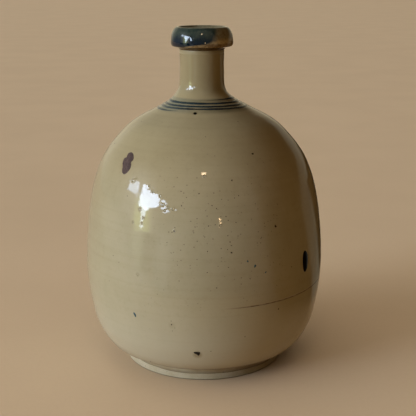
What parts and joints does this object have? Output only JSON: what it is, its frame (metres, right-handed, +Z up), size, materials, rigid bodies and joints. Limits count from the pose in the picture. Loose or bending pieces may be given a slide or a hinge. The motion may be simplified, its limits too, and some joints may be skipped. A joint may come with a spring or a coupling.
{
  "type": "sake bottle",
  "caption": "Round-bellied stoneware sake bottle with a narrow neck and a heavy rolled lip, glazed outside and lined inside, for holding and pouring sake.",
  "frame": {"origin": "middle of the foot ring's resting face, on the belly's axis, at the bottom of the bounding box", "axes": "+Z up along the belly's axis, towards the mouth; -Y is the front, the side seen from the front in the source view; +X is to the viewer's right"},
  "size_m": [0.1878, 0.1878, 0.262],
  "materials": {
    "bare_stoneware": "matt, unglazed, smooth from turning",
    "straw_glaze": "glossy straw to celadon ash glaze with small pinholes and dark specks",
    "lip_glaze": "glossy blue-black glaze breaking to brown",
    "liner_glaze": "thin glossy grey-green liner glaze",
    "brushed_slip": "dark blue to black pigment melted into the glaze",
    "iron_spot": "glossy black-brown iron bleed",
    "dry_slag": "dry rough brown fired ash"
  },
  "bodies": {
    "root": {"foot_ring": "bare_stoneware", "base_disc": "bare_stoneware", "belly_lower": "bare_stoneware", "belly_upper": "bare_stoneware", "neck": "bare_stoneware", "mouth_collar": "bare_stoneware", "straw_glaze": "straw_glaze", "lip_glaze": "lip_glaze", "liner_glaze": "liner_glaze", "shoulder_lines": "brushed_slip", "iron_spots": "iron_spot", "dry_patch": "dry_slag"}
  },
  "joints": []
}
